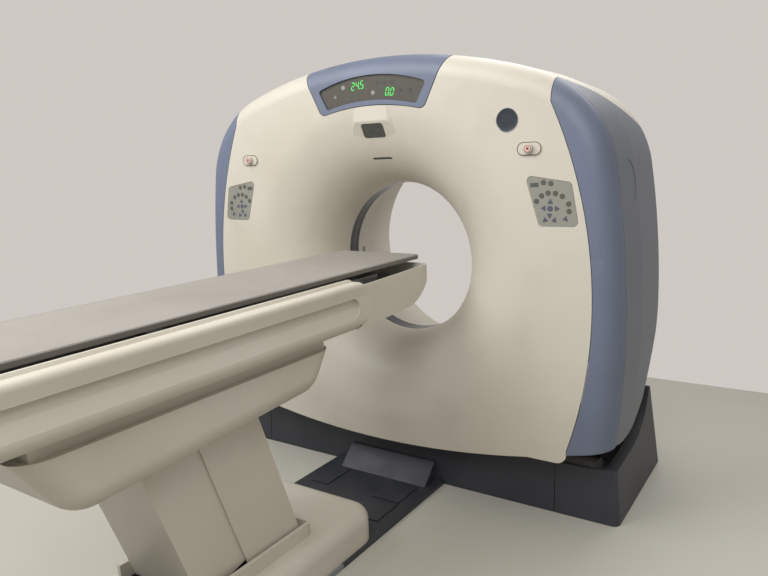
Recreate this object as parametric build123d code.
from build123d import *
import math
import os

# A tilting CT scanner with its patient table.
# Millimetres, +Z up. The origin is on the floor under the middle of the scan plane.
# The bore runs along Y, the table stands on the -Y side, +X is the right-hand side seen from the table.

os.makedirs("parts", exist_ok=True)

# Bore and housing of the gantry
AXIS_Z = 1005.0
BORE_R = 350.0
SCAN_HALF = 36.0
HOUSING_TOP = AXIS_Z + 883.0
HOUSING_HALF_W = 1055.0
WIDEST_Z = AXIS_Z - 205.0
TOP_R = 2200.0
SHOULDER_R = 450.0
SIDE_R = 4000.0
OUTLINE_LOW_Z = AXIS_Z - 855.0
FRONT_Y = -325.0
SEAM_Y = -245.0
SIDE_END_Y = 368.0
REAR_Y = 620.0
FRONT_ROUND = 85.0
REAR_ROUND = 120.0
REAR_STEP = 60.0
SIDE_DRAFT = 16.0
WALL = 8.0
REVEAL = 3.0

# Flare in front of the bore and cone behind it
FLARE_WIDTH = 380.0
RING_ANGLE = 22.0
CONE_SLOPE = 0.307
MOUTH_ROUND = 60.0

# Lower edges of the covers
FRONT_LOW_Z = AXIS_Z - 808.0
FRONT_CHIN_Z = AXIS_Z - 745.0
FRONT_CHIN_X = HOUSING_HALF_W - 355.0
STRIP_EDGE_X = HOUSING_HALF_W - 195.0
STRIP_LOW_Z = AXIS_Z - 688.0
STRIP_FOOT_RISE = 45.0
SIDE_LOW_Z = AXIS_Z - 685.0
REAR_SWEEP_R = 865.0
REAR_CORNER_X = HOUSING_HALF_W - 435.0
REAR_CORNER_RISE = 355.0
REAR_CORNER_SIDE = 250.0
REAR_CORNER_FALL = 300.0

# Trim strips and the line between top cover and side covers
STRIP_TIP_X = HOUSING_HALF_W - 268.0
STRIP_TIP_Z = AXIS_Z + 640.0
STRIP_BELLY_X = HOUSING_HALF_W - 105.0
STRIP_BELLY_Z = AXIS_Z - 79.0
TOP_SPLIT_FRONT_X = STRIP_TIP_X + 3.0
TOP_SPLIT_REAR_X = HOUSING_HALF_W - 115.0

# Display housing over the bore
DISPLAY_R = 683.0
DISPLAY_SAG = 32.0
DISPLAY_HALF_W = 258.0
DISPLAY_CORNER = 30.0
DISPLAY_LEAN = 26.7
WINDOW_LOW_R = 703.0
WINDOW_SAG = 29.0
WINDOW_TOP_R = 806.0
WINDOW_HALF_W = 226.0
WINDOW_CORNER = 12.0
WINDOW_LEAN = 28.9
WINDOW_SUNK = 12.0
WINDOW_T = 3.0
DISPLAY_BACK = 30.0

# Pod, laser windows, keypads, stop buttons and bare discs on the covers
POD_R = 582.0
POD_HALF_W = 88.0
POD_PROUD = 14.0
POD_LOW = 44.0
POD_HIGH = 34.0
POD_BROW_R = 22.0
POD_SIDE_R = 40.0
LENS_W = 112.0
LENS_H = 68.0
SLOT_R = 460.0
SLOT_W = 100.0
SLOT_H = 14.0
SLOT_SUNK = 4.0
SIDE_LASER_Y = 120.0
SIDE_LASER_W = 46.0
SIDE_LASER_H = 30.0
KEYPAD_X = STRIP_BELLY_X - 173.0
KEYPAD_Z = AXIS_Z + 275.0
KEYPAD_T = 3.0
KEYPAD_SUNK = 4.0
STOP_X = STRIP_BELLY_X - 242.0
STOP_Z = AXIS_Z + 475.0
STOP_W = 95.0
STOP_H = 50.0
STOP_T = 4.0
STOP_HEAD_R = 17.0
STOP_STEM_R = 9.0
STOP_TRAVEL = 4.0
DISC_X = STRIP_BELLY_X - 330.0
DISC_Z = AXIS_Z + 583.0
DISC_R = 45.0
DIMPLE_Y = -95.0
DIMPLE_Z = AXIS_Z + 340.0
DIMPLE_R = 85.0
DISC_SUNK = 2.0

# Tilting frame, pivots and towers
PLATE_Y = 230.0
PLATE_T = 40.0
PLATE_R = 700.0
PLATE_HOLE_R = 455.0
ARM_X = HOUSING_HALF_W - 235.0
ARM_T = 48.0
ARM_GAP = 12.0
ARM_HALF_H = 110.0
PIVOT_R = 40.0
PIVOT_GAP = 0.05
TOWER_X = ARM_X + ARM_T + ARM_GAP
TOWER_T = 55.0
TOWER_TOP_R = 95.0
TOWER_FRONT_Y = 110.0
TOWER_REAR_Y = 330.0
HOOP_T = 25.0
HOOP_FRONT_Y = -275.0
HOOP_DEPTH = 55.0
REAR_HOOP_DEPTH = 16.0

# Rotor
ROTOR_BACK_Y = 180.0
ROTOR_PLATE_T = 60.0
ROTOR_FRONT_Y = -60.0
ROTOR_IN_R = 420.0
ROTOR_OUT_R = 680.0
ROTOR_RIM_T = 20.0
RACE_R = 560.0
RACE_T = 40.0
RACE_BACK_Y = 222.0
RACE_GAP = 0.05
TUBE_R = 78.0
TUBE_GAP = 41.0
FOCUS_R = ROTOR_OUT_R - ROTOR_RIM_T - TUBE_R - TUBE_GAP
DETECTOR_GAP = 59.0
DETECTOR_R = FOCUS_R + BORE_R + DETECTOR_GAP
DETECTOR_T = 60.0
DETECTOR_FAN = 52.0
TANK_IN_X = 470.0
TANK_W = 165.0
TANK_HALF_H = 110.0
SLIP_IN_R = 610.0
SLIP_T = 20.0
MOTOR_X = -520.0
MOTOR_Z = AXIS_Z - 560.0
MOTOR_R = 55.0
MOTOR_LEN = 170.0

# Base under the gantry
FOOT_H = 15.0
RAIL_TOP = 115.0
RAIL_W = 75.0
RAIL_FRONT_Y = -200.0
RAIL_REAR_Y = 440.0
BEAM_W = 70.0
ANCHOR_R = 9.0
ANCHOR_Y = 170.0
FOOT_HALF_L = 30.0
BASE_FRONT_Y = -236.0
BASE_REAR_Y = 462.0
BASE_HALF_W = HOUSING_HALF_W - 9.0
BASE_SEAM_X = BASE_HALF_W - 263.0
BASE_WALL = 6.0
BASE_DRAFT = 4.0
BASE_CORNER_R = 30.0
BASE_LOW_Z = 152.0
BASE_HIGH_Z = 215.0
CHEEK_IN_X = BASE_HALF_W - 61.0
CHEEK_FRONT_Z = 225.0
CHEEK_MID_Z = 262.0
CHEEK_TOP_Z = 402.0
CHEEK_MID_Y = 150.0
CHEEK_TOP_Y = 345.0
BASE_REAR_Z = 235.0

# Floor plate and pedals between gantry and table
PLATE_LEFT_X = -320.0
PLATE_RIGHT_X = 268.0
FLOOR_PLATE_T = 16.0
TABLE_PLATE_Y = -1000.0
RAMP_TOP_Z = 100.0
RAMP_FRONT_Y = -338.0
RAMP_LEFT_X = -236.0
RAMP_RIGHT_X = 225.0
PEDAL_T = 8.0
PEDAL_LIFT = 4.0
PEDAL_GAP = 2.0
PEDAL_PIN_R = 3.0

# Pedestal under the table
PEDESTAL_HALF_W = 258.0
PEDESTAL_FRONT_Y = -760.0
PEDESTAL_REAR_Y = -2060.0
PEDESTAL_TOP_Z = 150.0
PEDESTAL_ROUND = 55.0
PEDESTAL_CORNER = 90.0
PEDESTAL_WALL = 5.0
WELL_HALF_W = 175.0
WELL_FRONT_Y = -1080.0
COLLAR_TOP_Z = 200.0
COLLAR_T = 14.0
COLLAR_REAR_Y = -1600.0

# Lifting legs of the table
LEG_LOW_Z = 130.0
LEG_FRONT_Y = -1219.0
LEG_REAR_Y = -1448.0
LEG_LEN = 666.0
LEG_LEAN = 19.0
LINK_T = 25.0
LINK_HALF_H = 20.0
LINK_EYE_R = 32.0
LINK_FRONT_X = 60.0
LINK_REAR_X = 95.0
LUG_X = 128.0
LUG_T = 14.0
LUG_HALF_W = 35.0
PIN_R = 18.0
PIN_GAP = 0.05
OPEN_PIN_GAP = 1.0
LEG_COVER_HALF_W = 165.0
LEG_COVER_WALL = 6.0
LEG_NEST_GAP = 2.0
LEG_FRONT_REACH = 120.0
LEG_REAR_REACH = 96.0
LEG_OVERLAP = 14.0
LEG_COVER_TOP = LEG_LEN - 76.0
LEG_COVER_START = 60.0

# Table top and cradle
TABLE_HALF_W = 303.0
CHASSIS_HALF_W = 225.0
CHASSIS_LOW_Z = 890.0
CHASSIS_TOP_Z = 985.0
CHASSIS_WALL = 8.0
TABLE_REAR_Y = -2650.0
NOSE_Y = -320.0
NOSE_TOP_Z = 1027.0
NOSE_HALF_W = 268.0
NOSE_WALL = 5.0
NOSE_REAR_Y = -900.0
CHASSIS_END_Y = NOSE_Y - 90.0
BULKHEAD_Y = -700.0
SIDE_TOP_Z = 1046.0
SIDE_UNDER_Z = 866.0
SIDE_WALL = 5.0
SIDE_FRONT_Y = -790.0
RECESS_END_Y = -874.0
PAN_HALF_W = 255.0
PAN_TOP_Z = 826.0
PAN_FRONT_Y = -967.0
PAN_REAR_Y = -2085.0
PAN_LOW_FRONT_Z = 690.0
PAN_LOW_REAR_Z = 642.0
PAN_ROUND = 70.0
PAN_TURN = 110.0
PAN_WALL = 6.0
PAN_LEDGE = 40.0
PAN_SLOT_REAR_Y = -1800.0
CRADLE_HALF_W = 215.0
CRADLE_LOW_Z = 1030.0
CRADLE_EDGE_Z = 1058.0
CRADLE_T = 9.0
CRADLE_BEND_R = 1660.0
CRADLE_CORNER = 45.0
CRADLE_FRONT_Y = NOSE_Y + 30.0
CRADLE_REAR_Y = TABLE_REAR_Y + 10.0
MATTRESS_TOP_Z = 1063.0
TRACK_X = 112.0
TRACK_W = 25.0
TRACK_T = 18.0
TRACK_GAP = 0.5
CARRIAGE_HALF_W = 140.0
CARRIAGE_LEN = 250.0
CRADLE_TRAVEL = 1700.0


# Drawing planes and small helpers

def along_x(drawing, x0, x1):
    """Solid of a drawing in Y and Z, swept straight from x0 to x1."""
    return extrude(Plane((x0, 0, 0), x_dir=(0, 1, 0), z_dir=(1, 0, 0)) * drawing, amount=x1 - x0)


def along_y(drawing, y0, y1):
    """Solid of a drawing in X and Z, swept straight from y0 to y1."""
    return extrude(Plane((0, y1, 0), x_dir=(1, 0, 0), z_dir=(0, -1, 0)) * drawing, amount=y1 - y0)


def along_z(drawing, z0, z1):
    """Solid of a plan drawing, swept straight up from z0 to z1."""
    return extrude(Pos(0, 0, z0) * drawing, amount=z1 - z0)


def block(x0, x1, y0, y1, z0, z1):
    """Straight block between two opposite corners."""
    return Pos((x0 + x1) / 2, (y0 + y1) / 2, (z0 + z1) / 2) * Box(x1 - x0, y1 - y0, z1 - z0)


def polygon(*points):
    """Flat face inside straight edges."""
    return make_face(Polyline(*points, close=True))


def disc(x, y, r):
    """Round flat face."""
    return Pos(x, y) * Circle(r)


def drum(r, y0, y1):
    """Solid cylinder around the scan axis."""
    return along_y(disc(0, AXIS_Z, r), y0, y1)


def ring(r_in, r_out, y0, y1):
    """Ring around the scan axis."""
    return along_y(disc(0, AXIS_Z, r_out) - disc(0, AXIS_Z, r_in), y0, y1)


def polar(centre, r, angle):
    """Point at an angle in degrees around a centre."""
    return centre[0] + r * math.cos(math.radians(angle)), centre[1] + r * math.sin(math.radians(angle))


def arc(centre, r, start, end):
    """Arc around a centre between two angles in degrees."""
    return ThreePointArc(polar(centre, r, start), polar(centre, r, (start + end) / 2), polar(centre, r, end))


def angle_of(start, end):
    """Direction from one point to another, in degrees."""
    return math.degrees(math.atan2(end[1] - start[1], end[0] - start[0]))


def meeting_point(c1, r1, c2, r2):
    """Right-hand crossing of two circles."""
    d = math.dist(c1, c2)
    a = (r1 ** 2 - r2 ** 2 + d ** 2) / (2 * d)
    h = math.sqrt(r1 ** 2 - a ** 2)
    ux = (c2[0] - c1[0]) / d
    uz = (c2[1] - c1[1]) / d
    options = [(c1[0] + a * ux - s * h * uz, c1[1] + a * uz + s * h * ux) for s in (1, -1)]
    return max(options)


def both_sides(right):
    """A right-hand piece and its mirror image, right one first."""
    return right, mirror(right, Plane.YZ)


def around_axis(profile):
    """Solid turned around the scan axis from a profile drawn as radius and Y."""
    upright = Plane((0, 0, AXIS_Z), x_dir=(0, 0, 1), z_dir=(-1, 0, 0))
    return revolve(upright * profile, Axis((0, 0, AXIS_Z), (0, 1, 0)))


def hull(*shapes):
    """Flat face stretched around several faces."""
    return make_hull([edge for shape in shapes for edge in shape.edges()])


# Housing form shared by every cover

def outline(inset):
    """Front view of the housing from three tangent arcs a side, shrunk by inset."""
    top = (0, HOUSING_TOP - TOP_R)
    side = (HOUSING_HALF_W - SIDE_R, WIDEST_Z)
    shoulder = meeting_point(top, TOP_R - SHOULDER_R, side, SIDE_R - SHOULDER_R)
    low_z = OUTLINE_LOW_Z - inset
    a1 = angle_of(top, shoulder)
    a2 = angle_of(side, shoulder)
    a3 = math.degrees(math.asin((low_z - side[1]) / (SIDE_R - inset)))
    right = [arc(shoulder, SHOULDER_R - inset, a1, a2), arc(side, SIDE_R - inset, a2, a3)]
    left = [edge.mirror(Plane.YZ) for edge in right]
    crown = arc(top, TOP_R - inset, 180 - a1, a1)
    foot = Line(polar(side, SIDE_R - inset, a3), left[1] @ 1)
    return make_face([crown, *right, *left, foot])


def side_width(z, inset=0.0):
    """Half-width of the housing's side arc at a height."""
    return HOUSING_HALF_W - SIDE_R + math.sqrt((SIDE_R - inset) ** 2 - (z - WIDEST_Z) ** 2)


def housing(inset):
    """Solid front and middle of the housing, shrunk by inset."""
    body = along_y(outline(inset), FRONT_Y + inset, 0)
    rim = body.faces().sort_by(Axis.Y)[0].edges().filter_by(GeomType.CIRCLE)
    body = fillet(rim, FRONT_ROUND - inset)
    tail = Plane((0, 0, 0), x_dir=(-1, 0, 0), z_dir=(0, 1, 0)) * outline(inset)
    return body + extrude(tail, amount=SIDE_END_Y, taper=math.degrees(math.atan(SIDE_DRAFT / SIDE_END_Y)))


def rear_housing(inset):
    """Solid rear of the housing, which sits inside the side covers."""
    body = along_y(outline(REAR_STEP + inset), SIDE_END_Y - REAR_HOOP_DEPTH - inset, REAR_Y - inset)
    rim = body.faces().sort_by(Axis.Y)[-1].edges().filter_by(GeomType.CIRCLE)
    return fillet(rim, REAR_ROUND - inset)


def flare_point(angle, inset=0.0):
    """Point of the flare as radius and Y: 0 degrees at the bore, 90 at the front face."""
    turn = math.radians(angle)
    depth = -SCAN_HALF - FRONT_Y
    r = BORE_R + FLARE_WIDTH - (FLARE_WIDTH - inset) * math.cos(turn)
    return r, -SCAN_HALF - (depth - inset) * math.sin(turn)


def flare_profile(start, end, wall):
    """Wall of the flare between two angles, drawn as radius and Y."""
    middle = (start + end) / 2
    edges = []
    for inset in (0.0, wall):
        turns = (start, (start + middle) / 2, middle, (middle + end) / 2, end)
        points = [flare_point(turn, inset) for turn in turns]
        edges.append(Spline(*points, tangents=[flare_heading(start), flare_heading(end)]))
    caps = [Line(edges[0] @ t, edges[1] @ t) for t in (0, 1)]
    return make_face([*edges, *caps])


def flare_heading(angle):
    """Direction along the flare at an angle, as radius and Y."""
    depth = -SCAN_HALF - FRONT_Y
    turn = math.radians(angle)
    return FLARE_WIDTH * math.sin(turn), -depth * math.cos(turn)


FLARE_R = flare_point(90)[0]
CORE = housing(WALL)
SHELL = housing(0) - CORE
FAR = 2000.0


def export(name, piece):
    """Write one named piece."""
    export_step(piece, f"parts/{name}.step")


def export_pair(name, right):
    """Write a right-hand piece and its mirror image."""
    for side, piece in zip(("right", "left"), both_sides(right)):
        export(f"{name}_{side}", piece)


# Outlines that divide the covers, drawn in X and Z or in plan

def strip_area(gap):
    """Right-hand area of the trim strip, bounded inwards by one long arc."""
    low = (STRIP_EDGE_X + gap, STRIP_LOW_Z)
    high = (STRIP_TIP_X + gap, STRIP_TIP_Z)
    edge = ThreePointArc(low, (STRIP_BELLY_X + gap, STRIP_BELLY_Z), high)
    rest = Polyline(high, (high[0], FAR), (FAR, FAR), (FAR, 0), (low[0], 0), low)
    return make_face([edge, *rest.edges()])


def below_front():
    """Area under the front cover's lower edge: a long arc, a chin on each side and a round end."""
    round_end = 0.75 * (STRIP_LOW_Z - FRONT_CHIN_Z)
    middle = ThreePointArc((-FRONT_CHIN_X, FRONT_CHIN_Z), (0, FRONT_LOW_Z), (FRONT_CHIN_X, FRONT_CHIN_Z))
    chin = Line((FRONT_CHIN_X, FRONT_CHIN_Z), (STRIP_EDGE_X - round_end, FRONT_CHIN_Z))
    end = ThreePointArc(
        chin @ 1,
        (STRIP_EDGE_X - 0.25 * round_end, FRONT_CHIN_Z + 0.3 * round_end),
        (STRIP_EDGE_X, STRIP_LOW_Z),
    )
    out = Line((STRIP_EDGE_X, STRIP_LOW_Z), (FAR, STRIP_LOW_Z))
    right = [chin, end, out]
    left = [edge.mirror(Plane.YZ) for edge in right]
    floor = Polyline((FAR, STRIP_LOW_Z), (FAR, 0), (-FAR, 0), (-FAR, STRIP_LOW_Z))
    return make_face([middle, *right, *left, *floor.edges()])


def below_strip():
    """Area under the trim strip's slanted foot."""
    foot_z = STRIP_LOW_Z - 0.4 * STRIP_FOOT_RISE
    rise = STRIP_FOOT_RISE / (HOUSING_HALF_W - STRIP_EDGE_X)
    end_z = foot_z + rise * (FAR - STRIP_EDGE_X)
    return polygon((STRIP_EDGE_X, foot_z), (FAR, end_z), (FAR, -FAR), (0, -FAR), (0, foot_z))


def below_side():
    """Area in Y and Z under the side cover: a low arc, then a slanted line up to the rear edge."""
    front = (SEAM_Y - 5, SIDE_LOW_Z + 28)
    low = (-60, SIDE_LOW_Z)
    heel = (178, SIDE_LOW_Z + 84)
    hip = (0.93 * SIDE_END_Y, AXIS_Z - 345)
    sweep = ThreePointArc(front, low, heel)
    slant = Line(heel, hip)
    bend = ThreePointArc(hip, (0.98 * SIDE_END_Y, AXIS_Z - 275), (SIDE_END_Y + 1, AXIS_Z - 190))
    rest = Polyline(bend @ 1, (FAR, AXIS_Z - 190), (FAR, -FAR), (-FAR, -FAR), (-FAR, front[1]), front)
    return make_face([sweep, slant, bend, *rest.edges()])


def top_area(grow):
    """Plan area of the top cover, wider towards the rear."""
    front = TOP_SPLIT_FRONT_X + grow
    rear = TOP_SPLIT_REAR_X + grow
    return polygon((-front, SEAM_Y), (front, SEAM_Y), (rear, SIDE_END_Y), (-rear, SIDE_END_Y))


def fan_area(low_r, sag, half_w, lean, top_r=None, grow=0.0, corner=0.0):
    """Area over the bore from a low arc up, between sides that lean outwards, to an arc or a flat top."""
    low_r = low_r - grow
    half_w = half_w + grow
    low_z = low_r - sag
    turn = math.radians(lean)
    if top_r is None:
        length = (HOUSING_TOP + 60 - AXIS_Z - low_z) / math.cos(turn)
    else:
        along = half_w * math.sin(turn) + low_z * math.cos(turn)
        length = -along + math.sqrt(along ** 2 + (top_r + grow) ** 2 - half_w ** 2 - low_z ** 2)
    top_x = half_w + length * math.sin(turn)
    top_z = AXIS_Z + low_z + length * math.cos(turn)
    low_z = AXIS_Z + low_z
    base = ThreePointArc((-half_w, low_z), (0, AXIS_Z + low_r), (half_w, low_z))
    right = Line((half_w, low_z), (top_x, top_z))
    if top_r is None:
        top = Line((top_x, top_z), (-top_x, top_z))
    else:
        top = ThreePointArc((top_x, top_z), (0, AXIS_Z + top_r + grow), (-top_x, top_z))
    left = Line((-top_x, top_z), (-half_w, low_z))
    area = make_face([base, right, top, left])
    return fillet(area.vertices(), corner) if corner else area


def display_area(grow):
    """Area of the display housing with round lower corners."""
    corner = DISPLAY_CORNER + grow
    return fan_area(DISPLAY_R, DISPLAY_SAG, DISPLAY_HALF_W, DISPLAY_LEAN, grow=grow, corner=corner)


def window_area(grow):
    """Area of the display's sunk window."""
    sides = (WINDOW_HALF_W, WINDOW_LEAN, WINDOW_TOP_R)
    return fan_area(WINDOW_LOW_R, WINDOW_SAG, *sides, grow=grow, corner=WINDOW_CORNER + grow)


# Gantry covers

def front_shell():
    """Front face and rounded rim of the housing, up to the seam."""
    return SHELL & block(-FAR, FAR, FRONT_Y - 1, SEAM_Y, 0, FAR)


def middle_shell():
    """Band of the housing behind the seam."""
    return SHELL & block(-FAR, FAR, SEAM_Y + REVEAL, SIDE_END_Y, 0, FAR)


def flare_plane(angle):
    """Plane on the flare over the bore, looking out of its surface."""
    r, y = flare_point(angle)
    heading = flare_heading(angle)
    return Plane((0, y, AXIS_Z + r), x_dir=(1, 0, 0), z_dir=(0, -heading[0], heading[1]))


def flare_angle(r):
    """Angle of the flare point with this radius."""
    return math.degrees(math.acos((FLARE_R - r) / FLARE_WIDTH))


def pod_edge():
    """Lower and upper end of the pod's slanted window face, in Y and Z."""
    low_r, low_y = flare_point(flare_angle(POD_R - POD_LOW))
    high_r, high_y = flare_point(flare_angle(POD_R + POD_HIGH))
    return (low_y, AXIS_Z + low_r), (high_y - POD_PROUD, AXIS_Z + high_r)


def pod_plane():
    """Plane in the middle of the pod's window face, looking out."""
    low, high = pod_edge()
    middle = (0, (low[0] + high[0]) / 2, (low[1] + high[1]) / 2)
    return Plane(middle, x_dir=(1, 0, 0), z_dir=(0, low[1] - high[1], high[0] - low[0]))


def pod_bump():
    """Bump between flare and display that holds the pod's window."""
    low, high = pod_edge()
    top_z = AXIS_Z + DISPLAY_R - 2
    side = polygon(low, high, (FRONT_Y, top_z), (FRONT_Y + WALL, top_z), (low[0] + WALL, low[1]))
    side = fillet(side.vertices().sort_by_distance((*high, 0))[0], POD_BROW_R)
    wide = 1.5 * POD_HALF_W
    front = high[0] - 1
    plan = polygon((-wide, low[0] + WALL), (wide, low[0] + WALL), (POD_HALF_W, front), (-POD_HALF_W, front))
    plan = fillet(plan.vertices().filter_by(lambda v: v.Y < front + 1), POD_SIDE_R)
    return along_x(side, -FAR, FAR) & along_z(plan, 0, FAR)


def keypad_area(gap):
    """Outline of a keypad, narrower towards its foot, drawn in X and Z."""
    corners = [(-83, 100), (91, 72), (119, -85), (-28, -87)]
    area = polygon(*[(KEYPAD_X + x, KEYPAD_Z + z) for x, z in corners])
    area = fillet(area.vertices(), 16)
    return offset(area, gap) if gap else area


def disc_cutter(x, z):
    """Shallow round recess of the front face."""
    return along_y(disc(x, z, DISC_R), FRONT_Y - 1, FRONT_Y + DISC_SUNK)


def stop_hole():
    """Hole in the front cover behind a stop button."""
    return along_y(disc(STOP_X, STOP_Z, STOP_STEM_R + 3), FRONT_Y - 1, FRONT_Y + WALL + 1)


def make_front_cover():
    """Flared front cover in one moulding."""
    rim = front_shell() - along_y(below_front(), FRONT_Y - 1, SEAM_Y + 1)
    strip = along_y(strip_area(0), FRONT_Y - 1, SEAM_Y + 1)
    rim = rim - strip - mirror(strip, Plane.YZ)
    rim = rim - along_y(disc(0, AXIS_Z, FLARE_R), FRONT_Y - 1, FRONT_Y + WALL + 1)
    cover = rim + around_axis(flare_profile(RING_ANGLE, 90, WALL)) + pod_bump()
    display = display_area(REVEAL)
    cover = cover - along_y(display, FRONT_Y - 40, SEAM_Y + 1)
    cover = cover - extrude(pod_plane() * RectangleRounded(LENS_W, LENS_H, 14), amount=-6)
    slot = RectangleRounded(SLOT_W, SLOT_H, 6)
    cover = cover - extrude(flare_plane(flare_angle(SLOT_R)).offset(SLOT_SUNK) * slot, amount=-2 * SLOT_SUNK)
    keypad = along_y(keypad_area(REVEAL), FRONT_Y - 1, FRONT_Y + KEYPAD_SUNK)
    for cutter in (keypad, stop_hole()):
        cover = cover - cutter - mirror(cutter, Plane.YZ)
    return cover - disc_cutter(DISC_X, DISC_Z)


def make_display_housing():
    """Housing of the display, which wraps over the top edge, with its sunk window place."""
    body = front_shell() & along_y(display_area(0), FRONT_Y - 1, SEAM_Y)
    body = body + along_y(window_area(WALL), FRONT_Y + WALL - 1, FRONT_Y + DISPLAY_BACK)
    return body - along_y(window_area(0), FRONT_Y - 1, FRONT_Y + WINDOW_SUNK)


def make_display_window():
    """Dark pane on the floor of the display recess."""
    return along_y(window_area(-1), FRONT_Y + WINDOW_SUNK - WINDOW_T, FRONT_Y + WINDOW_SUNK)


def make_trim_strip():
    """Right-hand trim strip around the rounded front edge."""
    piece = front_shell() & along_y(strip_area(REVEAL), FRONT_Y - 1, SEAM_Y)
    return piece - along_y(below_strip(), FRONT_Y - 1, SEAM_Y + 1)


def make_top_cover():
    """Cover over the top of the gantry."""
    return middle_shell() & along_z(top_area(-REVEAL / 2), AXIS_Z, FAR)


def make_side_cover():
    """Right-hand side cover with its round dimple."""
    piece = middle_shell() & block(0, FAR, -FAR, FAR, 0, FAR)
    piece = piece - along_z(top_area(REVEAL / 2), AXIS_Z, FAR)
    piece = piece - along_x(below_side(), 0, FAR)
    fall = math.asin((DIMPLE_Z - WIDEST_Z) / SIDE_R)
    middle = (side_width(DIMPLE_Z), DIMPLE_Y, DIMPLE_Z)
    face = Plane(middle, x_dir=(0, 1, 0), z_dir=(math.cos(fall), 0, math.sin(fall)))
    return piece - extrude(face * Circle(DIMPLE_R), amount=DISC_SUNK, both=True)


def mouth():
    """Ends of the round edge between cone and rear face, as radius and Y."""
    lean = math.atan(CONE_SLOPE)
    start_y = REAR_Y - MOUTH_ROUND * (1 - math.sin(lean))
    start_r = BORE_R + CONE_SLOPE * (start_y - SCAN_HALF)
    return (start_r, start_y), (start_r + MOUTH_ROUND * math.cos(lean), REAR_Y)


def cone_profile():
    """Wall of the rear cone with its round mouth, as radius and Y."""
    lean = math.degrees(math.atan(CONE_SLOPE))
    start, end = mouth()
    centre = (end[0], REAR_Y - MOUTH_ROUND)
    inner = arc(centre, MOUTH_ROUND, 180 - lean, 90)
    outer = arc(centre, MOUTH_ROUND - WALL, 180 - lean, 90)
    back = WALL / math.cos(math.radians(lean))
    low_in = (BORE_R, SCAN_HALF)
    low_out = (BORE_R + back, SCAN_HALF)
    edges = [inner, outer, Line(low_in, inner @ 0), Line(low_out, outer @ 0)]
    return make_face([*edges, Line(low_in, low_out), Line(inner @ 1, outer @ 1)])


def make_rear_cover():
    """Rear cover with the cone of the bore, cut away below for the tilt."""
    shell = rear_housing(0) - rear_housing(WALL)
    shell = shell - drum(mouth()[1][0], REAR_Y - WALL - 1, REAR_Y + 1)
    cover = shell + around_axis(cone_profile())
    sweep = along_x(disc(0, AXIS_Z, REAR_SWEEP_R), -FAR, FAR)
    cover = cover - (block(-FAR, FAR, 0, FAR, 0, AXIS_Z) - sweep)
    z = AXIS_Z - REAR_CORNER_RISE
    slant = [(REAR_CORNER_X, z - REAR_CORNER_FALL), (REAR_CORNER_X + REAR_CORNER_SIDE, z)]
    corner = along_y(polygon((REAR_CORNER_X, 0), *slant, (FAR, z), (FAR, 0)), 0, FAR)
    for cutter in (corner, laser_pocket()):
        cover = cover - cutter - mirror(cutter, Plane.YZ)
    return cover


def laser_plane():
    """Plane on the rear cone at three o'clock, looking at the bore axis."""
    r = BORE_R + CONE_SLOPE * (SIDE_LASER_Y - SCAN_HALF)
    return Plane((r, SIDE_LASER_Y, AXIS_Z), x_dir=(CONE_SLOPE, 1, 0), z_dir=(-1, CONE_SLOPE, 0))


def laser_pocket():
    """Pocket of the side laser's window."""
    return extrude(laser_plane() * Rectangle(SIDE_LASER_W, SIDE_LASER_H), amount=5, both=True)


def make_laser_window():
    """Window of the side laser, just below the cone's surface."""
    pane = Rectangle(SIDE_LASER_W - 1, SIDE_LASER_H - 1)
    return extrude(laser_plane().offset(-5) * pane, amount=4)


def make_front_laser():
    """Narrow window of the laser over the bore."""
    plane = flare_plane(flare_angle(SLOT_R)).offset(-SLOT_SUNK)
    return extrude(plane * RectangleRounded(SLOT_W - 1, SLOT_H - 1, 5), amount=SLOT_SUNK - 2)


def make_pod_lens():
    """Dark window of the pod."""
    return extrude(pod_plane().offset(-6) * RectangleRounded(LENS_W - 1, LENS_H - 1, 13), amount=4)


def make_bore_ring():
    """Front ring that ends the flare at the bore."""
    return around_axis(flare_profile(0, RING_ANGLE, WALL))


def make_scan_ring():
    """Dark window ring around the scan plane."""
    return ring(BORE_R, BORE_R + WALL / 2, -SCAN_HALF, SCAN_HALF)


def make_keypad():
    """Right-hand keypad, sunk in the front cover."""
    area = keypad_area(0)
    return along_y(area, FRONT_Y + KEYPAD_SUNK - KEYPAD_T, FRONT_Y + KEYPAD_SUNK)


def make_stop_bezel():
    """Oval plate around the right-hand stop button."""
    area = Pos(STOP_X, STOP_Z) * SlotOverall(STOP_W, STOP_H) - disc(STOP_X, STOP_Z, STOP_STEM_R + 1)
    return along_y(area, FRONT_Y - STOP_T, FRONT_Y)


def make_stop_button():
    """Right-hand stop button with its stem through the cover."""
    under = FRONT_Y - STOP_T - STOP_TRAVEL - 0.5
    head = along_y(disc(STOP_X, STOP_Z, STOP_HEAD_R), under - 11, under)
    head = fillet(head.faces().sort_by(Axis.Y)[0].edges(), 4)
    return head + along_y(disc(STOP_X, STOP_Z, STOP_STEM_R), under, FRONT_Y + 3 * WALL)


# Tilting frame inside the covers

def hoop(front, depth, inner):
    """Band that follows the inside of the housing and carries the covers."""
    slab = block(-FAR, FAR, front, front + depth, 0, FAR)
    return (CORE - inner) & slab


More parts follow.
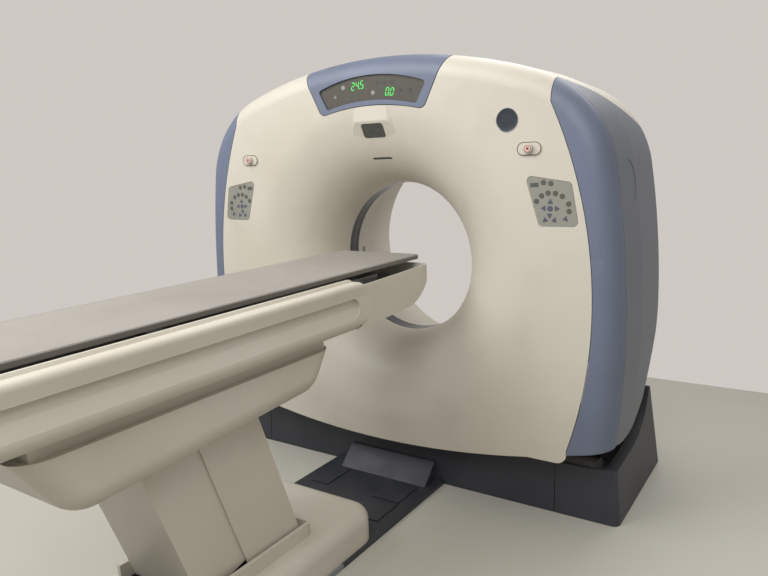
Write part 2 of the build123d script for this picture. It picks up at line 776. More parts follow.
def make_tilt_frame():
    """Frame that carries rotor and covers: plate, arms, pivots and two cover hoops."""
    area = disc(0, AXIS_Z, PLATE_R)
    area = area + Pos(0, AXIS_Z) * Rectangle(2 * (ARM_X + ARM_T), 2 * ARM_HALF_H)
    area = area + Pos(MOTOR_X, MOTOR_Z) * Rectangle(3 * MOTOR_R, 3 * MOTOR_R)
    area = area - disc(0, AXIS_Z, PLATE_HOLE_R)
    frame = along_y(area, PLATE_Y, PLATE_Y + PLATE_T)
    front_hoop = hoop(HOOP_FRONT_Y, HOOP_DEPTH, housing(WALL + HOOP_T))
    front_hoop = front_hoop - block(-FAR, FAR, -FAR, FAR, 0, SIDE_LOW_Z + 45)
    rear_y = SIDE_END_Y - REAR_HOOP_DEPTH
    rear_inner = along_y(outline(REAR_STEP), rear_y - 1, SIDE_END_Y + 1)
    rear_hoop = hoop(rear_y, REAR_HOOP_DEPTH, rear_inner)
    rear_hoop = rear_hoop - block(-FAR, FAR, -FAR, FAR, 0, AXIS_Z - REAR_CORNER_RISE + 90)
    side = Pos((FRONT_Y + WALL + PLATE_Y + PLATE_T) / 2, AXIS_Z)
    arm = side * Rectangle(PLATE_Y + PLATE_T - FRONT_Y - WALL, 2 * ARM_HALF_H)
    arm = along_x(arm, ARM_X, ARM_X + ARM_T)
    hoop_back = HOOP_FRONT_Y + HOOP_DEPTH
    front_strut = block(ARM_X, HOUSING_HALF_W, HOOP_FRONT_Y, hoop_back, AXIS_Z - 60, AXIS_Z + 60)
    rear_strut = block(ARM_X, HOUSING_HALF_W, PLATE_Y, rear_y, AXIS_Z + 40, AXIS_Z + ARM_HALF_H)
    struts = ((front_strut & CORE) + (rear_strut & CORE)) - drum(0.98 * ARM_X, -FAR, FAR)
    pivot_end = TOWER_X + TOWER_T
    pivot = along_x(disc(0, AXIS_Z, PIVOT_R), ARM_X + ARM_T, pivot_end)
    post = block(600, 640, PLATE_Y + PLATE_T, REAR_Y - WALL, AXIS_Z + 240, AXIS_Z + 280)
    right = arm + struts + pivot + post
    return frame + front_hoop + rear_hoop + right + mirror(right, Plane.YZ)


def make_outer_race():
    """Fixed race of the rotor bearing on the plate."""
    return ring(RACE_R + RACE_GAP, RACE_R + RACE_T, ROTOR_BACK_Y + 25, PLATE_Y)


def make_motor():
    """Motor that drives the rotor by its rim."""
    return along_y(disc(MOTOR_X, MOTOR_Z, MOTOR_R), PLATE_Y - MOTOR_LEN, PLATE_Y)


# Rotor

def make_rotor_drum():
    """Rotating drum: plate, rim and the turning race of the bearing."""
    plate_y = ROTOR_BACK_Y - ROTOR_PLATE_T
    plate = ring(ROTOR_IN_R, ROTOR_OUT_R, plate_y, ROTOR_BACK_Y)
    rim = ring(ROTOR_OUT_R - ROTOR_RIM_T, ROTOR_OUT_R, ROTOR_FRONT_Y, plate_y)
    race = ring(RACE_R - 1.2 * RACE_T, RACE_R, ROTOR_BACK_Y, RACE_BACK_Y)
    return plate + rim + race


def in_drum(drawing):
    """Part bolted to the front of the rotor's plate."""
    return along_y(drawing, ROTOR_FRONT_Y + 10, ROTOR_BACK_Y - ROTOR_PLATE_T)


def make_xray_tube():
    """X-ray tube housing at twelve o'clock, with its round anode end in front."""
    z = AXIS_Z + FOCUS_R + 12
    tube = in_drum(disc(0, z, TUBE_R) + Pos(0, z) * Rectangle(3 * TUBE_R, 1.2 * TUBE_R))
    return tube + along_y(disc(0, z, 0.7 * TUBE_R), ROTOR_FRONT_Y - 20, ROTOR_FRONT_Y + 10)


def make_collimator():
    """Collimator box between tube and bore."""
    top = AXIS_Z + FOCUS_R + 12 - TUBE_R
    low = AXIS_Z + ROTOR_IN_R + 12
    return in_drum(polygon((-60, low), (60, low), (40, top), (-40, top)))


def make_detector():
    """Curved detector opposite the tube, centred on the focus."""
    focus = (0, AXIS_Z + FOCUS_R)
    start = 270 - DETECTOR_FAN / 2
    end = 270 + DETECTOR_FAN / 2
    inner = arc(focus, DETECTOR_R, start, end)
    outer = arc(focus, DETECTOR_R + DETECTOR_T, start, end)
    return in_drum(make_face([inner, outer, Line(inner @ 0, outer @ 0), Line(inner @ 1, outer @ 1)]))


def make_tank():
    """Oil-filled high voltage tank at three o'clock."""
    return in_drum(Pos(TANK_IN_X + TANK_W / 2, AXIS_Z) * RectangleRounded(TANK_W, 2 * TANK_HALF_H, 15))


def make_slip_ring():
    """Slip ring behind the drum."""
    return ring(SLIP_IN_R, ROTOR_OUT_R, ROTOR_BACK_Y, ROTOR_BACK_Y + SLIP_T)


# Base under the gantry

def make_base_frame():
    """Welded floor frame with rails, cross beams, feet and anchor holes."""
    rail_x = TOWER_X + TOWER_T / 2
    x0 = rail_x - RAIL_W / 2
    x1 = rail_x + RAIL_W / 2
    right = block(x0, x1, RAIL_FRONT_Y, RAIL_REAR_Y, FOOT_H, RAIL_TOP)
    for y in (-ANCHOR_Y, ANCHOR_Y, RAIL_REAR_Y - FOOT_HALF_L):
        right = right + block(x0, x1, y - FOOT_HALF_L, y + FOOT_HALF_L, 0, FOOT_H)
    frame = right + mirror(right, Plane.YZ)
    for y in (RAIL_FRONT_Y, RAIL_REAR_Y - BEAM_W):
        frame = frame + block(-rail_x, rail_x, y, y + BEAM_W, FOOT_H, RAIL_TOP - 20)
    places = [(x, y) for x in (-rail_x, rail_x) for y in (-ANCHOR_Y, ANCHOR_Y)]
    return frame - [along_z(disc(x, y, ANCHOR_R), -1, RAIL_TOP + 1) for x, y in places]


def make_tower():
    """Right-hand tower that carries the tilt pivot."""
    top = disc(0, AXIS_Z, TOWER_TOP_R)
    middle_y = (TOWER_FRONT_Y + TOWER_REAR_Y) / 2
    foot = Pos(middle_y, RAIL_TOP + 10) * Rectangle(TOWER_REAR_Y - TOWER_FRONT_Y, 20)
    return along_x(hull(top, foot) - disc(0, AXIS_Z, PIVOT_R + PIVOT_GAP), TOWER_X, TOWER_X + TOWER_T)


def base_block(inset, top_z):
    """Plan of the base as a block with drafted walls, shrunk by inset."""
    half_w = BASE_HALF_W - inset
    front = BASE_FRONT_Y + inset
    plan = polygon((-half_w, front), (half_w, front), (half_w, BASE_REAR_Y), (-half_w, BASE_REAR_Y))
    plan = fillet(plan.vertices().filter_by(lambda v: v.Y < 0), BASE_CORNER_R - inset)
    return extrude(plan, amount=top_z, taper=BASE_DRAFT)


def cheek_side(drop):
    """Side view of a cheek in Y and Z, lowered by drop."""
    front = Line((-FAR, -FAR), (-FAR, CHEEK_FRONT_Z - drop))
    flat = Line(front @ 1, (BASE_FRONT_Y, CHEEK_FRONT_Z - drop))
    rise = Spline(
        (BASE_FRONT_Y, CHEEK_FRONT_Z - drop),
        (CHEEK_MID_Y, CHEEK_MID_Z - drop),
        (CHEEK_TOP_Y, CHEEK_TOP_Z - drop),
        tangents=[(1, 0.05), (0.6, 1)],
    )
    top = Line(rise @ 1, (CHEEK_TOP_Y + 17, CHEEK_TOP_Z - drop))
    heel = Line(top @ 1, (BASE_REAR_Y - drop, 0))
    floor = Polyline(heel @ 1, (BASE_REAR_Y - drop, -FAR), (-FAR, -FAR))
    return make_face([front, flat, rise, top, heel, *floor.edges()])


def front_wall_area():
    """Area in X and Z under the base's front edge, low in the middle and level at the sides."""
    bend_x = 0.9 * BASE_SEAM_X
    middle = ThreePointArc((-bend_x, BASE_HIGH_Z), (0, BASE_LOW_Z), (bend_x, BASE_HIGH_Z))
    rim = [(CHEEK_IN_X - 60, BASE_HIGH_Z), (CHEEK_IN_X, CHEEK_FRONT_Z), (CHEEK_IN_X, FAR), (FAR, FAR)]
    right = Polyline(middle @ 1, *rim, (FAR, -FAR), (-FAR, -FAR))
    left = Polyline((-FAR, -FAR), *[(-x, z) for x, z in reversed(rim)], middle @ 0)
    return make_face([middle, *right.edges(), *left.edges()])


def base_shell():
    """Front wall, side cheeks and their flanges as one hollow form."""
    cheeks = base_block(0, CHEEK_TOP_Z + 10) & along_x(cheek_side(0), -FAR, FAR)
    form = cheeks & along_y(front_wall_area(), -FAR, FAR)
    pit = block(-CHEEK_IN_X, CHEEK_IN_X, BASE_FRONT_Y + 40, FAR, -1, FAR)
    hollow = base_block(BASE_WALL, CHEEK_TOP_Z + 10) & along_x(cheek_side(BASE_WALL), -FAR, FAR)
    hollow = hollow & along_y(Pos(0, -BASE_WALL) * front_wall_area(), -FAR, FAR)
    inner_wall = block(CHEEK_IN_X, CHEEK_IN_X + BASE_WALL, BASE_FRONT_Y, FAR, -1, FAR)
    hollow = hollow - inner_wall - mirror(inner_wall, Plane.YZ)
    return form - hollow - pit


def make_base_front(shell):
    """Front cover of the base between its two seams."""
    half = BASE_SEAM_X - REVEAL / 2
    return shell & block(-half, half, -FAR, 0, -1, FAR)


def make_base_corner(shell):
    """Right-hand corner and side cover of the base."""
    return shell & block(BASE_SEAM_X + REVEAL / 2, FAR, -FAR, FAR, -1, FAR)


def make_base_rear():
    """Low rear wall between the cheeks."""
    y = RAIL_REAR_Y
    return block(-CHEEK_IN_X, CHEEK_IN_X, y, y + BASE_WALL, 0, BASE_REAR_Z)


# Floor plate, ramp and pedals

def pedals():
    """Places of the three pedals as left, right, rear and front edges in plan."""
    return {
        "pedal_up": (66, 200, -521, -358),
        "pedal_down": (70, 205, -690, -530),
        "pedal_home": (-269, -173, -531, -348),
    }


def make_floor_plate():
    """Plate between gantry base and table base with pockets for the pedals."""
    plate = block(PLATE_LEFT_X, PLATE_RIGHT_X, TABLE_PLATE_Y, BASE_FRONT_Y, 0, FLOOR_PLATE_T)
    for x0, x1, y0, y1 in pedals().values():
        pocket = block(
            x0 - PEDAL_GAP, x1 + PEDAL_GAP, y0 - PEDAL_GAP, y1 + PEDAL_GAP, PEDAL_LIFT, FLOOR_PLATE_T + 1
        )
        pin = disc(y1 - 2 * PEDAL_PIN_R, pedal_axis_z(), PEDAL_PIN_R)
        plate = plate - pocket + along_x(pin, x0 - PEDAL_GAP, x1 + PEDAL_GAP)
    return plate


def pedal_axis_z():
    """Height of a pedal's hinge pin."""
    return FLOOR_PLATE_T - PEDAL_PIN_R


def make_pedal(x0, x1, y0, y1):
    """Foot pedal that hinges on a pin at its far edge."""
    low = FLOOR_PLATE_T - PEDAL_T + 4
    pad = block(x0, x1, y0, y1 - 4 * PEDAL_PIN_R, low, low + PEDAL_T)
    y = y1 - 2 * PEDAL_PIN_R
    eye = disc(y, pedal_axis_z(), 2 * PEDAL_PIN_R)
    arm = Pos(y - PEDAL_PIN_R - 2, low + PEDAL_T / 2) * Rectangle(2 * PEDAL_PIN_R + 4, PEDAL_T)
    eye = eye + arm - disc(y, pedal_axis_z(), PEDAL_PIN_R + PIN_GAP)
    return pad + along_x(eye, x0, x1)


def make_ramp():
    """Raised cover over the joint between floor plate and gantry base."""
    side = polygon(
        (BASE_FRONT_Y, FLOOR_PLATE_T), (RAMP_FRONT_Y, FLOOR_PLATE_T), (BASE_FRONT_Y - 8, RAMP_TOP_Z),
        (BASE_FRONT_Y, RAMP_TOP_Z)
    )
    return along_x(side, RAMP_LEFT_X, RAMP_RIGHT_X) & base_front_side()


def base_front_side():
    """Space in front of the base's drafted front wall."""
    lean = math.tan(math.radians(BASE_DRAFT))
    face = polygon((-FAR, -1), (BASE_FRONT_Y, 0), (BASE_FRONT_Y + FAR * lean, FAR), (-FAR, FAR))
    return along_x(face, -FAR, FAR)


# Pedestal and legs of the table

def rounded_box(half_w, front, rear, top, corner, edge):
    """Block on the floor plate with upright corners and a round top edge."""
    plan = Pos(0, (front + rear) / 2) * RectangleRounded(2 * half_w, front - rear, corner)
    body = along_z(plan, FLOOR_PLATE_T, top)
    return fillet(body.faces().sort_by(Axis.Z)[-1].edges(), edge)


def make_pedestal():
    """Cover over the table base, with a collar and an open well for the legs."""
    t = PEDESTAL_WALL
    body = rounded_box(
        PEDESTAL_HALF_W, PEDESTAL_FRONT_Y, PEDESTAL_REAR_Y, PEDESTAL_TOP_Z, PEDESTAL_CORNER, PEDESTAL_ROUND
    )
    inner = rounded_box(
        PEDESTAL_HALF_W - t, PEDESTAL_FRONT_Y - t, PEDESTAL_REAR_Y + t, PEDESTAL_TOP_Z - t,
        PEDESTAL_CORNER - t, PEDESTAL_ROUND - t
    )
    outer_w = WELL_HALF_W + COLLAR_T
    front = WELL_FRONT_Y + COLLAR_T
    rear = COLLAR_REAR_Y
    collar = polygon((-outer_w, rear), (outer_w, rear), (outer_w, front), (-outer_w, front))
    collar = fillet(collar.vertices().filter_by(lambda v: v.Y > rear + 1), 30)
    collar = along_z(collar, PEDESTAL_TOP_Z - t, COLLAR_TOP_Z)
    well = polygon(
        (-WELL_HALF_W, PEDESTAL_REAR_Y - 1), (WELL_HALF_W, PEDESTAL_REAR_Y - 1),
        (WELL_HALF_W, WELL_FRONT_Y), (-WELL_HALF_W, WELL_FRONT_Y)
    )
    return body - inner + collar - along_z(well, FLOOR_PLATE_T - 1, COLLAR_TOP_Z + 1)


def make_table_base():
    """Base plate of the table with side beams, lugs and the lower pins of the legs."""
    base = block(PLATE_LEFT_X, PLATE_RIGHT_X, PEDESTAL_REAR_Y, TABLE_PLATE_Y, 0, FLOOR_PLATE_T)
    x0 = WELL_HALF_W + 10
    x1 = PEDESTAL_HALF_W - 20
    beam = block(x0, x1, PEDESTAL_REAR_Y + 60, TABLE_PLATE_Y, FLOOR_PLATE_T, RAIL_TOP - 20)
    for y in (LEG_FRONT_Y, LEG_REAR_Y):
        eye = hull(
            disc(y, LEG_LOW_Z, LUG_HALF_W - 8),
            Pos(y, FLOOR_PLATE_T + 5) * Rectangle(2 * LUG_HALF_W, 10),
        )
        beam = beam + along_x(eye, LUG_X, LUG_X + LUG_T)
        base = base + along_x(disc(y, LEG_LOW_Z, PIN_R), -LUG_X, LUG_X)
    return base + beam + mirror(beam, Plane.YZ)


def leg_place(pivot_y):
    """Plane of a leg: X along the leg from its lower pivot, Y towards the gantry side."""
    turn = math.radians(LEG_LEAN)
    along = (0, -math.sin(turn), math.cos(turn))
    return Plane((0, pivot_y, LEG_LOW_Z), x_dir=along, z_dir=(-1, 0, 0))


def leg_solid(drawing, pivot_y, x0, x1):
    """Solid of a drawing along and across a leg, between two X planes."""
    plane = leg_place(pivot_y)
    return Pos(x1, 0, 0) * extrude(plane * drawing, amount=x1 - x0)


def make_link(pivot_y, x0, upper_gap):
    """Pair of link arms on one pair of pivots, tied by a tube."""
    arm = hull(disc(0, 0, LINK_HALF_H), disc(LEG_LEN, 0, LINK_HALF_H))
    arm = arm + disc(0, 0, LINK_EYE_R) + disc(LEG_LEN, 0, LINK_EYE_R)
    arm = arm - disc(0, 0, PIN_R + PIN_GAP) - disc(LEG_LEN, 0, PIN_R + upper_gap)
    right = leg_solid(arm, pivot_y, x0, x0 + LINK_T)
    return right + mirror(right, Plane.YZ)


def make_front_link():
    """Front link with a cross tube between its arms."""
    tube = leg_solid(disc(LEG_LEN / 2, 0, LINK_HALF_H - 4), LEG_FRONT_Y, -LINK_FRONT_X, LINK_FRONT_X)
    return make_link(LEG_FRONT_Y, LINK_FRONT_X, PIN_GAP) + tube


def make_rear_link():
    """Rear link with a cross tube between its arms, set towards the rear plate."""
    area = hull(disc(LEG_LEN / 2, -50, 14), disc(LEG_LEN / 2, -10, 10))
    tube = leg_solid(area, LEG_REAR_Y, -LINK_REAR_X, LINK_REAR_X)
    return make_link(LEG_REAR_Y, LINK_REAR_X, OPEN_PIN_GAP) + tube


def cover_ribs(start, end):
    """Two ribs between a link and its cover, drawn along and across the leg."""
    middle = (start + end) / 2
    return [Pos(x, middle) * Rectangle(30, abs(end - start)) for x in (215, LEG_LEN - 75)]


def make_front_leg_cover():
    """Outer cover of the legs, open to the rear and fixed to the front link."""
    reach = LEG_FRONT_REACH
    end = LEG_LEN + 20
    side = polygon(
        (-25, reach), (-25, 40), (LEG_COVER_START, -reach),
        (end, -reach), (end, reach - 70), (LEG_COVER_TOP, reach)
    )
    body = leg_solid(side, LEG_FRONT_Y, -LEG_COVER_HALF_W, LEG_COVER_HALF_W)
    inner_w = LEG_COVER_HALF_W - LEG_COVER_WALL
    hollow = polygon(
        (-60, reach - LEG_COVER_WALL), (LEG_LEN + 60, reach - LEG_COVER_WALL),
        (LEG_LEN + 60, -reach - 1), (-60, -reach - 1)
    )
    body = body - leg_solid(hollow, LEG_FRONT_Y, -inner_w, inner_w)
    for area in cover_ribs(LINK_HALF_H, reach - LEG_COVER_WALL):
        body = body + leg_solid(area, LEG_FRONT_Y, -LINK_FRONT_X - LINK_T, LINK_FRONT_X + LINK_T)
    return body


def make_rear_leg_cover():
    """Inner cover of the legs, open to the front and fixed to the rear link."""
    half_w = LEG_COVER_HALF_W - LEG_COVER_WALL - LEG_NEST_GAP
    spacing = (LEG_FRONT_Y - LEG_REAR_Y) * math.cos(math.radians(LEG_LEAN))
    front = spacing - LEG_FRONT_REACH + LEG_OVERLAP
    reach = LEG_REAR_REACH
    side = polygon((LEG_COVER_START, -reach), (LEG_LEN + 20, -reach), (LEG_LEN + 20, front - 60),
                   (LEG_LEN - 50, front), (LEG_COVER_START - 20, front))
    body = leg_solid(side, LEG_REAR_Y, -half_w, half_w)
    inner_w = half_w - LEG_COVER_WALL
    hollow = polygon((-60, -reach + LEG_COVER_WALL), (LEG_LEN + 60, -reach + LEG_COVER_WALL),
                     (LEG_LEN + 60, front + 1), (-60, front + 1))
    body = body - leg_solid(hollow, LEG_REAR_Y, -inner_w, inner_w)
    for area in cover_ribs(-LINK_HALF_H, -reach + LEG_COVER_WALL):
        body = body + leg_solid(area, LEG_REAR_Y, -LINK_REAR_X - LINK_T, LINK_REAR_X + LINK_T)
    return body


# Table top

def upper_pivot(pivot_y):
    """Upper pivot of a leg at rest, in Y and Z."""
    turn = math.radians(LEG_LEAN)
    return pivot_y - LEG_LEN * math.sin(turn), LEG_LOW_Z + LEG_LEN * math.cos(turn)


def nose_side(inset):
    """Side view of the nose in Y and Z, shrunk by inset."""
    tip = (NOSE_Y - inset, NOSE_TOP_Z + inset)
    low = CHASSIS_LOW_Z - 9 + inset
    curve = [tip, (NOSE_Y - 45 - inset, NOSE_TOP_Z - 87), (NOSE_Y - 170 - inset, low)]
    chin = Spline(*curve, tangents=[(-0.15, -1), (-1, -0.18)])
    under = Line(chin @ 1, (NOSE_REAR_Y, low - 10))
    back = Polyline(under @ 1, (NOSE_REAR_Y, NOSE_TOP_Z + inset), tip)
    return make_face([chin, under, *back.edges()])


def nose_plan(inset):
    """Plan of the nose, narrowing to a round tip."""
    tip_w = NOSE_HALF_W - inset
    rear_w = TABLE_HALF_W - 4 - inset
    front = NOSE_Y - inset
    plan = polygon((-rear_w, NOSE_REAR_Y), (rear_w, NOSE_REAR_Y), (rear_w, SIDE_FRONT_Y),
                   (tip_w, front), (-tip_w, front), (-rear_w, SIDE_FRONT_Y))
    corners = plan.vertices().filter_by(lambda v: v.Y > front - 1)
    return fillet(corners, 40 - inset)


def seam_area(gap):
    """Area in Y and Z behind the side cover's front seam, which bulges towards the nose."""
    reach = SIDE_FRONT_Y + gap
    seam = Spline(
        (reach - 84, SIDE_TOP_Z + 1), (reach - 15, CHASSIS_TOP_Z), (reach, CHASSIS_TOP_Z - 37),
        (reach - 39, CHASSIS_LOW_Z + 9), (reach - 110, SIDE_UNDER_Z - 1),
    )
    rest = Polyline(seam @ 1, (TABLE_REAR_Y, SIDE_UNDER_Z - 1), (TABLE_REAR_Y, SIDE_TOP_Z + 1), seam @ 0)
    return make_face([seam, *rest.edges()])


def make_nose():
    """Nose of the table: an open-topped shell that narrows to its tip."""
    outer = along_x(nose_side(0), -FAR, FAR) & along_z(nose_plan(0), 0, FAR)
    inner = along_x(nose_side(NOSE_WALL), -FAR, FAR) & along_z(nose_plan(NOSE_WALL), 0, FAR)
    shell = outer - inner
    seam = along_x(seam_area(1), CHASSIS_HALF_W, FAR)
    shell = shell - seam - mirror(seam, Plane.YZ)
    return shell - block(-CHASSIS_HALF_W, CHASSIS_HALF_W, NOSE_REAR_Y - 1, CHASSIS_END_Y, CHASSIS_LOW_Z, FAR)


def table_side_area():
    """Section of the right-hand table side: top lip, shelf, round shoulder, sunk panel and round foot."""
    w = TABLE_HALF_W
    inner = CRADLE_HALF_W + 33
    shelf_z = SIDE_TOP_Z - 9
    lip = Polyline(
        (CHASSIS_HALF_W, SIDE_UNDER_Z), (CHASSIS_HALF_W, CHASSIS_TOP_Z + 3), (inner, CHASSIS_TOP_Z + 3),
        (inner, SIDE_TOP_Z), (inner + 9, SIDE_TOP_Z), (inner + 14, shelf_z), (w - 17, shelf_z + 1)
    )
    shoulder = ThreePointArc(lip @ 1, (w - 4, shelf_z - 5), (w, shelf_z - 18))
    side = Polyline(shoulder @ 1, (w - 3, CHASSIS_TOP_Z + 4), (w - 3, CHASSIS_LOW_Z + 22))
    foot = ThreePointArc(side @ 1, (w - 10, CHASSIS_LOW_Z - 6), (w - 40, SIDE_UNDER_Z))
    under = Line(foot @ 1, (CHASSIS_HALF_W, SIDE_UNDER_Z))
    return make_face([*lip.edges(), shoulder, *side.edges(), foot, under])


def recess_cutter():
    """Long sunk panel of the table side, deepest under its top edge, with a round front end."""
    w = TABLE_HALF_W
    top = CHASSIS_TOP_Z + 2
    low = CHASSIS_LOW_Z + 22
    section = polygon((w + 1, top), (w - 16, top - 3), (w - 15, top - 34), (w - 3.5, low), (w + 1, low))
    band = along_y(section, TABLE_REAR_Y - 1, RECESS_END_Y)
    reach = (top - low) / 2
    end = Pos(RECESS_END_Y - reach, (top + low) / 2) * Circle(reach)
    back = polygon((TABLE_REAR_Y - 1, low), (RECESS_END_Y - reach, low), (RECESS_END_Y - reach, top),
                   (TABLE_REAR_Y - 1, top))
    return band & along_x(end + back, 0, FAR)


def make_table_side():
    """Right-hand side cover of the table."""
    solid = along_y(table_side_area(), TABLE_REAR_Y, SIDE_FRONT_Y)
    solid = solid & along_x(seam_area(0), 0, FAR)
    w = TABLE_HALF_W - SIDE_WALL
    inner = CHASSIS_HALF_W + SIDE_WALL
    low = SIDE_UNDER_Z + SIDE_WALL
    hollow = polygon(
        (inner, low), (inner, CHASSIS_TOP_Z - 3), (w - 16, CHASSIS_TOP_Z - 3),
        (w - 16, CHASSIS_TOP_Z - 34), (w - 10, CHASSIS_LOW_Z + 15), (w - 38, low)
    )
    solid = solid - along_y(hollow, TABLE_REAR_Y - 1, SIDE_FRONT_Y - 130)
    return solid - recess_cutter()


def make_chassis():
    """Folded beam of the table top with the bulkhead of the nose and the upper pins of the legs."""
    low = CHASSIS_LOW_Z
    top = CHASSIS_TOP_Z
    end = CHASSIS_END_Y
    side = polygon((TABLE_REAR_Y, low), (NOSE_REAR_Y, low), (end, top - 40), (end, top), (TABLE_REAR_Y, top))
    beam = along_x(side, -CHASSIS_HALF_W, CHASSIS_HALF_W)
    inner = CHASSIS_HALF_W - CHASSIS_WALL
    under = CHASSIS_TOP_Z - CHASSIS_WALL
    beam = beam - block(-inner, inner, TABLE_REAR_Y + CHASSIS_WALL, CHASSIS_END_Y - CHASSIS_WALL, 0, under)
    for pivot_y in (LEG_FRONT_Y, LEG_REAR_Y):
        y, z = upper_pivot(pivot_y)
        lug = hull(disc(y, z, LUG_HALF_W - 5), Pos(y, under - 5) * Rectangle(2 * LUG_HALF_W, 10))
        lug = along_x(lug, LUG_X, LUG_X + LUG_T)
        beam = beam + lug + mirror(lug, Plane.YZ) + along_x(disc(y, z, PIN_R), -LUG_X, LUG_X)
    bulkhead = block(-inner, inner, BULKHEAD_Y, BULKHEAD_Y + CHASSIS_WALL, SIDE_UNDER_Z, under)
    return beam + (bulkhead & along_x(nose_side(NOSE_WALL), -FAR, FAR))


def pan_side(inset):
    """Side view of the belly pan in Y and Z, shrunk by inset, with slanted ends and round turns."""
    top = PAN_TOP_Z + inset
    front = PAN_FRONT_Y - inset
    rear = PAN_REAR_Y + inset
    low_front = (front - 90, PAN_LOW_FRONT_Z + inset)
    low_rear = (rear + 130, PAN_LOW_REAR_Z + inset)
    area = polygon((front, top), low_front, low_rear, (rear, top))
    return fillet(area.vertices().filter_by(lambda v: v.Y < top - 1), PAN_TURN - inset)


def pan_form(inset):
    """Belly pan as a solid with round lower edges."""
    half_w = PAN_HALF_W - inset
    body = along_x(pan_side(inset), -half_w, half_w)
    rims = body.edges().filter_by(lambda e: abs(abs(e.center().X) - half_w) < 0.01)
    low = rims.filter_by(lambda e: e.center().Z < PAN_TOP_Z + inset - 0.5)
    return fillet(low, PAN_ROUND - inset)


def make_belly_pan():
    """Round-edged pan under the table, with its neck and the slot that the legs fold into."""
    low = PAN_TOP_Z - PAN_WALL
    x = CHASSIS_HALF_W
    rear = PAN_REAR_Y + PAN_LEDGE
    front = PAN_FRONT_Y - PAN_LEDGE
    lid = pan_form(0) & block(-FAR, FAR, -2 * FAR, 0, low, PAN_TOP_Z)
    neck = block(-x - PAN_WALL, x + PAN_WALL, rear - PAN_WALL, front + PAN_WALL, low, SIDE_UNDER_Z)
    rim = lid + neck - block(-x, x, rear, front, low - 1, SIDE_UNDER_Z + 1)
    slot = block(-WELL_HALF_W, WELL_HALF_W, PAN_SLOT_REAR_Y, 0, 0, SIDE_UNDER_Z + 1)
    return pan_form(0) - pan_form(PAN_WALL) + rim - slot


def make_end_cap():
    """Plain cap over the rear end of the table."""
    plan = Pos(0, TABLE_REAR_Y - 30) * Rectangle(2 * TABLE_HALF_W - 6, 60)
    plan = fillet(plan.vertices().filter_by(lambda v: v.Y < TABLE_REAR_Y - 1), 30)
    return along_z(plan, SIDE_UNDER_Z, CRADLE_LOW_Z - 3)


def make_track():
    """Two rails on the chassis, tied by cross plates."""
    x = TRACK_X - TRACK_W / 2
    rear = TABLE_REAR_Y + 10
    front = CHASSIS_END_Y - 90
    rail = block(x, x + TRACK_W, rear, front, CHASSIS_TOP_Z, CHASSIS_TOP_Z + TRACK_T)
    track = rail + mirror(rail, Plane.YZ)
    for y in (rear, (rear + front) / 2, front - 60):
        track = track + block(-TRACK_X, TRACK_X, y, y + 60, CHASSIS_TOP_Z, CHASSIS_TOP_Z + TRACK_T / 3)
    return track


# Cradle

def cradle_plan(inset):
    """Plan of the cradle, with round front corners."""
    half_w = CRADLE_HALF_W - inset
    rear = CRADLE_REAR_Y + inset
    front = CRADLE_FRONT_Y - inset
    plan = polygon((-half_w, rear), (half_w, rear), (half_w, front), (-half_w, front))
    return fillet(plan.vertices().filter_by(lambda v: v.Y > front - 1), CRADLE_CORNER - inset)


def above_curve(inset, top):
    """Space above the cradle's curved underside, shrunk by inset, up to a height."""
    low = CRADLE_LOW_Z - 1
    slab = Pos(0, (low + top) / 2) * Rectangle(2 * CRADLE_HALF_W + 20, top - low)
    area = slab & disc(0, CRADLE_LOW_Z + CRADLE_BEND_R, CRADLE_BEND_R - inset)
    return along_y(area, CRADLE_REAR_Y - 10, CRADLE_FRONT_Y + 10)


def make_cradle():
    """Carbon fibre cradle: a shallow tray with raised edges."""
    body = above_curve(0, CRADLE_EDGE_Z) & along_z(cradle_plan(0), 0, FAR)
    return body - (above_curve(CRADLE_T, CRADLE_EDGE_Z + 1) & along_z(cradle_plan(CRADLE_T), 0, FAR))


def make_mattress():
    """Flat pad in the cradle with a soft upper edge."""
    pad = above_curve(CRADLE_T, MATTRESS_TOP_Z) & along_z(cradle_plan(CRADLE_T), 0, FAR)
    return chamfer(pad.faces().sort_by(Axis.Z)[-1].edges(), MATTRESS_TOP_Z - CRADLE_EDGE_Z)


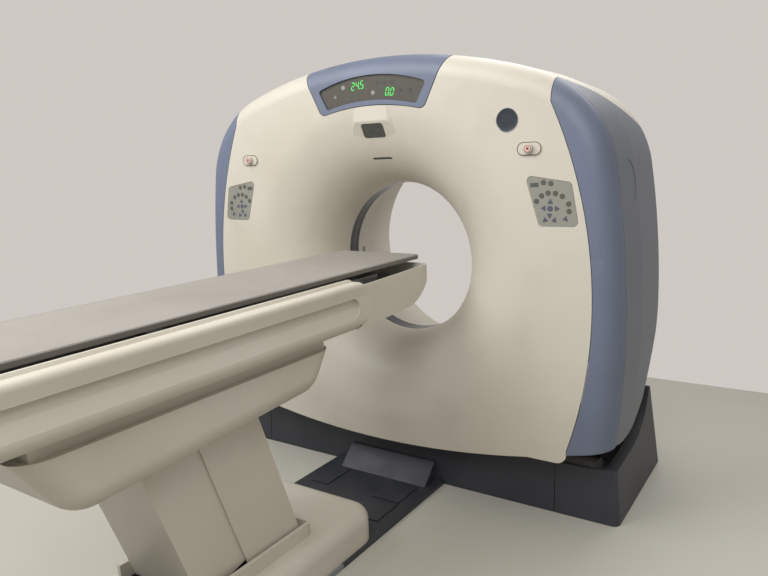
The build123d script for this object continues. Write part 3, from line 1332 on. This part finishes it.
def make_carriage():
    """Carriage under the cradle's rear end that runs over the rails."""
    low = CHASSIS_TOP_Z + TRACK_T + TRACK_GAP
    rear = CRADLE_REAR_Y + 20
    w = CARRIAGE_HALF_W
    body = block(-w, w, rear, rear + CARRIAGE_LEN, low, CRADLE_EDGE_Z)
    return body - above_curve(0, CRADLE_EDGE_Z + 1)


# Every piece, written in the order of the assembly

base = base_shell()
export("base_frame", make_base_frame())
export("base_front_cover", make_base_front(base))
export_pair("base_corner_cover", make_base_corner(base))
export("base_rear_cover", make_base_rear())
export_pair("tilt_tower", make_tower())
export("floor_plate", make_floor_plate())
export("floor_ramp", make_ramp())
export("table_base", make_table_base())
export("pedestal_cover", make_pedestal())

export("front_cover", make_front_cover())
export_pair("trim_strip", make_trim_strip())
export_pair("side_cover", make_side_cover())
export("top_cover", make_top_cover())
export("rear_cover", make_rear_cover())
export("display_housing", make_display_housing())
export("display_window", make_display_window())
export("pod_lens", make_pod_lens())
export("laser_window_top", make_front_laser())
export_pair("laser_window", make_laser_window())
export("bore_ring", make_bore_ring())
export("scan_window_ring", make_scan_ring())
export("tilt_frame", make_tilt_frame())
export("bearing_race", make_outer_race())
export("rotor_motor", make_motor())
export_pair("keypad", make_keypad())
export_pair("stop_bezel", make_stop_bezel())

export("rotor_drum", make_rotor_drum())
export("xray_tube", make_xray_tube())
export("collimator", make_collimator())
export("detector", make_detector())
tank, data_unit = both_sides(make_tank())
export("voltage_tank", tank)
export("data_unit", data_unit)
export("slip_ring", make_slip_ring())

export_pair("stop_button", make_stop_button())
for pedal, place in pedals().items():
    export(pedal, make_pedal(*place))

export("front_link", make_front_link())
export("front_leg_cover", make_front_leg_cover())
export("rear_link", make_rear_link())
export("rear_leg_cover", make_rear_leg_cover())

export("table_chassis", make_chassis())
export("cradle_track", make_track())
export_pair("table_side", make_table_side())
export("table_nose", make_nose())
export("table_end_cap", make_end_cap())
export("belly_pan", make_belly_pan())

export("cradle", make_cradle())
export("mattress", make_mattress())
export("cradle_carriage", make_carriage())
